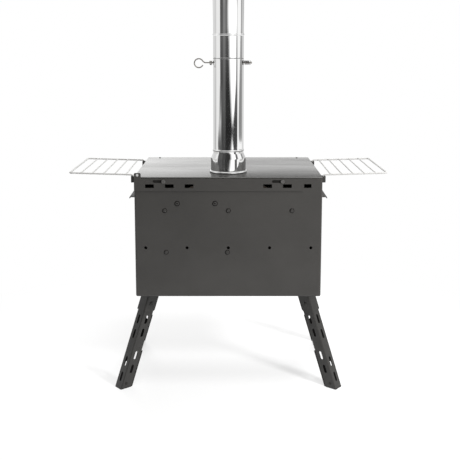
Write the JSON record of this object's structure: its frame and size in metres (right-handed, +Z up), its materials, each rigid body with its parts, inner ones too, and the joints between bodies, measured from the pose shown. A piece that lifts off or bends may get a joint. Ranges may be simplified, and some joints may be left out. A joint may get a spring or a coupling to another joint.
{
  "type": "wood stove",
  "caption": "Tent wood stove of bent sheet steel with a glazed door, folding angle legs, hook-on wire side racks, air sliders and a stainless flue with a damper.",
  "frame": {"origin": "middle of the bounding box's base, at floor level", "axes": "+Z up; -Y the flue side with the rear air slider; +Y the door side; +X to the right when seen from -Y"},
  "size_m": [0.77, 0.3852, 1.0345],
  "materials": {
    "body_paint": "satin dark grey paint",
    "black_paint": "semi-matt black paint",
    "top_steel": "smooth dark steel with a sheen",
    "flue_stainless": "polished stainless steel",
    "wire_stainless": "bright stainless wire",
    "zinc": "zinc-plated steel",
    "cast_iron": "dark cast iron",
    "glass": "clear ceramic glass with a faint brown tint",
    "grip_black": "black heat-resistant grip"
  },
  "bodies": {
    "stove": {"firebox_wrap": "body_paint", "flue_ring": "top_steel", "front_guide_screw_left": "zinc", "front_guide_screw_right": "zinc", "front_panel": "body_paint", "grate": "cast_iron", "hinge_lug_lower": "body_paint", "hinge_lug_upper": "body_paint", "hinge_pin": "zinc", "leg_bracket_front_left": "black_paint", "leg_bracket_front_right": "black_paint", "leg_bracket_rear_left": "black_paint", "leg_bracket_rear_right": "black_paint", "liner_screw_1": "body_paint", "liner_screw_2": "body_paint", "lower_rivet_1": "body_paint", "lower_rivet_2": "body_paint", "rack_saddle_far_left": "black_paint", "rack_saddle_far_right": "black_paint", "rack_saddle_near_left": "black_paint", "rack_saddle_near_right": "black_paint", "rear_guide_screw_left": "zinc", "rear_guide_screw_right": "zinc", "rear_liner": "black_paint", "rear_panel": "body_paint", "side_ledge_left": "body_paint", "side_ledge_right": "body_paint", "top_plate": "top_steel", "top_screw_left": "zinc", "top_screw_right": "zinc", "upper_rivet_1": "body_paint", "upper_rivet_2": "body_paint", "upper_rivet_3": "body_paint"},
    "rear_slider": {"rear_air_slider": "body_paint"},
    "front_slider": {"front_air_slider": "body_paint"},
    "door": {"door_frame": "body_paint", "door_glass": "glass", "glass_retainer": "zinc"},
    "latch": {"latch_lever": "zinc", "latch_grip": "grip_black", "latch_cam": "zinc"},
    "lower_flue": {"flue_lower": "flue_stainless"},
    "upper_flue": {"flue_upper": "flue_stainless"},
    "damper": {"damper_plate": "cast_iron", "damper_handle": "wire_stainless", "damper_spring": "wire_stainless", "damper_washer": "wire_stainless", "damper_collar": "zinc"},
    "left_rack": {"rack_left": "wire_stainless"},
    "right_rack": {"rack_right": "wire_stainless"},
    "leg_rear_left": {"leg_rear_left": "black_paint", "foot_rear_left": "black_paint"},
    "leg_rear_right": {"leg_rear_right": "black_paint", "foot_rear_right": "black_paint"},
    "leg_front_left": {"leg_front_left": "black_paint", "foot_front_left": "black_paint"},
    "leg_front_right": {"leg_front_right": "black_paint", "foot_front_right": "black_paint"}
  },
  "joints": [
    {"name": "rear_air_slide", "type": "slide", "parent": "stove", "child": "rear_slider", "axis": [1, 0, 0], "range_m": [0, 0.022]},
    {"name": "front_air_slide", "type": "slide", "parent": "stove", "child": "front_slider", "axis": [1, 0, 0], "range_m": [0, 0.022]},
    {"name": "door_hinge", "type": "hinge", "parent": "stove", "child": "door", "pos_m": [0.169, 0.1678, 0.3965], "axis": [0, 0, -1], "range_deg": [0, 120]},
    {"name": "latch_turn", "type": "hinge", "parent": "door", "child": "latch", "pos_m": [-0.14, 0.1623, 0.3965], "axis": [0, -1, 0], "range_deg": [0, 90]},
    {"name": "flue_lower_lift", "type": "slide", "parent": "stove", "child": "lower_flue", "axis": [0, 0, 1], "range_m": [0, 0.035]},
    {"name": "flue_upper_lift", "type": "slide", "parent": "lower_flue", "child": "upper_flue", "axis": [0, 0, 1], "range_m": [0, 0.06]},
    {"name": "damper_turn", "type": "hinge", "parent": "lower_flue", "child": "damper", "pos_m": [0, -0.1022, 0.8025], "axis": [1, 0, 0], "range_deg": [0, 90]},
    {"name": "rack_left_lift", "type": "slide", "parent": "stove", "child": "left_rack", "axis": [0, 0, 1], "range_m": [0, 0.025]},
    {"name": "rack_right_lift", "type": "slide", "parent": "stove", "child": "right_rack", "axis": [0, 0, 1], "range_m": [0, 0.025]},
    {"name": "leg_rear_left_fold", "type": "hinge", "parent": "stove", "child": "leg_rear_left", "pos_m": [-0.19404, -0.13196, 0.20183], "axis": [0.632, -0.7749, 0], "range_deg": [0, 112]},
    {"name": "leg_rear_right_fold", "type": "hinge", "parent": "stove", "child": "leg_rear_right", "pos_m": [0.19404, -0.13196, 0.20183], "axis": [0.632, 0.7749, 0], "range_deg": [0, 112]},
    {"name": "leg_front_left_fold", "type": "hinge", "parent": "stove", "child": "leg_front_left", "pos_m": [-0.19404, 0.10656, 0.20183], "axis": [-0.632, -0.7749, 0], "range_deg": [0, 94]},
    {"name": "leg_front_right_fold", "type": "hinge", "parent": "stove", "child": "leg_front_right", "pos_m": [0.19404, 0.10656, 0.20183], "axis": [-0.632, 0.7749, 0], "range_deg": [0, 94]}
  ]
}
